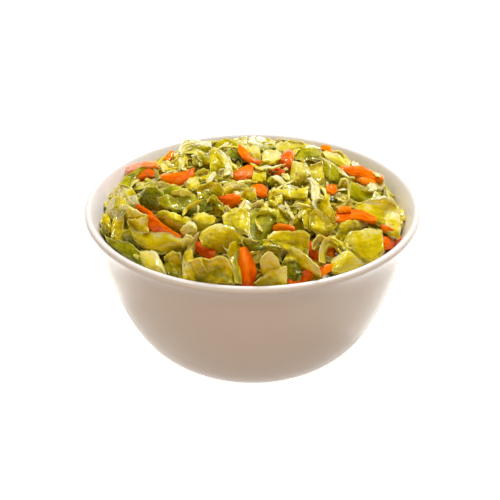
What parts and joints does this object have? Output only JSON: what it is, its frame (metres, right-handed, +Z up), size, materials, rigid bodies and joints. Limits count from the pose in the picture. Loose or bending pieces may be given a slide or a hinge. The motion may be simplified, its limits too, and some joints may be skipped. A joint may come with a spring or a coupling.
{
  "type": "coleslaw",
  "caption": "Bowl of coleslaw: shredded cabbage and carrot heaped above the flared lip of a round white bowl with a flat foot ring.",
  "frame": {"origin": "middle of the bowl's foot ring, on the surface that it stands on", "axes": "+Z up along the bowl's axis, towards the top of the heap; the shown side faces -Y"},
  "size_m": [0.15, 0.15, 0.0878],
  "materials": {
    "bowl_glaze": "smooth white glaze, glossy",
    "slaw": "moist pale green and yellow shredded cabbage",
    "cabbage_leaf": "moist yellow-green cut cabbage leaf, glossy with dressing",
    "cabbage_green": "moist darker green outer leaf, glossy with dressing",
    "cabbage_rib": "pale translucent cabbage rib, glossy with dressing",
    "carrot": "moist orange carrot, glossy with dressing"
  },
  "bodies": {
    "root": {"bowl": "bowl_glaze", "coleslaw": "slaw"}
  },
  "joints": []
}
